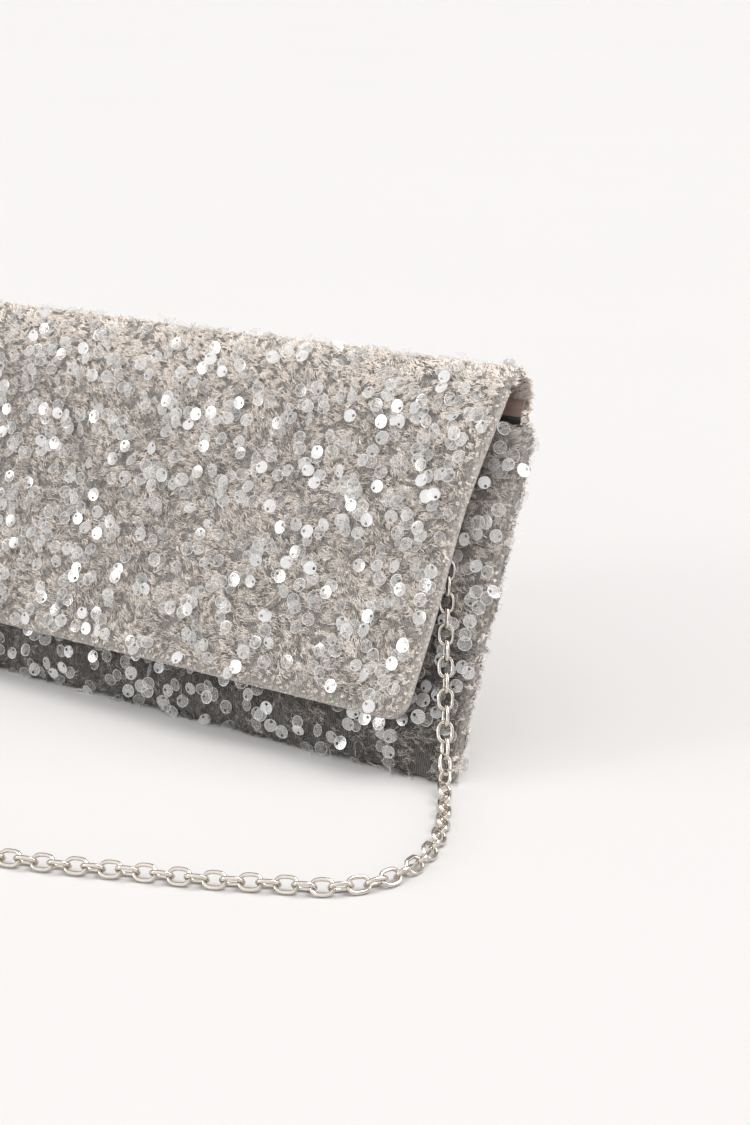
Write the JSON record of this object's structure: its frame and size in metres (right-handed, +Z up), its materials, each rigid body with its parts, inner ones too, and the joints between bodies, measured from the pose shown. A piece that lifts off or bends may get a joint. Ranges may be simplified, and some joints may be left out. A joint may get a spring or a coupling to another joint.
{
  "type": "clutch purse",
  "caption": "Leaning envelope clutch in sequinned pile fabric with a fold-over flap, magnetic snap, satin lining and a link-chain strap.",
  "frame": {"origin": "on the floor, under the middle of the front panel's bottom edge", "axes": "+X along the bag to its right end, -Y out of the front, +Z up"},
  "size_m": [0.3049, 0.2013, 0.1336],
  "materials": {
    "pile_fabric": "crushed pile with clear sequins",
    "satin_lining": "satin weave, pinkish brown",
    "stiffening_board": "stiffened felt board",
    "ribbon_tab": "grosgrain ribbon",
    "plated_metal": "bright nickel plate",
    "magnet": "plated magnet",
    "clear_sequin": "frosted clear film"
  },
  "bodies": {
    "bag": {"front_panel": "pile_fabric", "back_panel": "pile_fabric", "base_panel": "pile_fabric", "base_board": "stiffening_board", "base_lining": "satin_lining", "front_board": "stiffening_board", "back_board": "stiffening_board", "front_lining": "satin_lining", "back_lining": "satin_lining", "slip_pocket": "satin_lining", "left_side_seam": "pile_fabric", "right_side_seam": "pile_fabric", "snap_socket": "plated_metal", "snap_magnet": "magnet", "socket_washer": "plated_metal", "left_ring_tab": "ribbon_tab", "right_ring_tab": "ribbon_tab", "chain_run_right": "plated_metal", "chain_run_left": "plated_metal", "chain_coil": "plated_metal"},
    "fold": {"fold_panel": "pile_fabric", "fold_lining": "satin_lining"},
    "flap": {"flap_panel": "pile_fabric", "flap_board": "stiffening_board", "flap_lining": "satin_lining", "snap_stud": "plated_metal", "stud_washer": "plated_metal"},
    "right_ring": {"right_d_ring": "plated_metal", "right_jump_ring": "plated_metal"},
    "left_ring": {"left_d_ring": "plated_metal", "left_jump_ring": "plated_metal"}
  },
  "joints": [
    {"name": "rear_crease", "type": "hinge", "parent": "bag", "child": "fold", "pos_m": [0, 0.06083, 0.12801], "axis": [-1, 0, 0], "range_deg": [0, 85]},
    {"name": "front_crease", "type": "hinge", "parent": "fold", "child": "flap", "pos_m": [0, 0.04953, 0.13304], "axis": [-1, 0, 0], "range_deg": [0, 85]},
    {"name": "right_ring_swing", "type": "hinge", "parent": "bag", "child": "right_ring", "pos_m": [0.112, 0.04129, 0.1075], "axis": [-1, 0, 0], "range_deg": [0, 8]},
    {"name": "left_ring_swing", "type": "hinge", "parent": "bag", "child": "left_ring", "pos_m": [-0.112, 0.04129, 0.1075], "axis": [-1, 0, 0], "range_deg": [0, 8]}
  ],
  "couplings": [
    {"joint": "front_crease", "follows": "rear_crease", "ratio": 1}
  ]
}
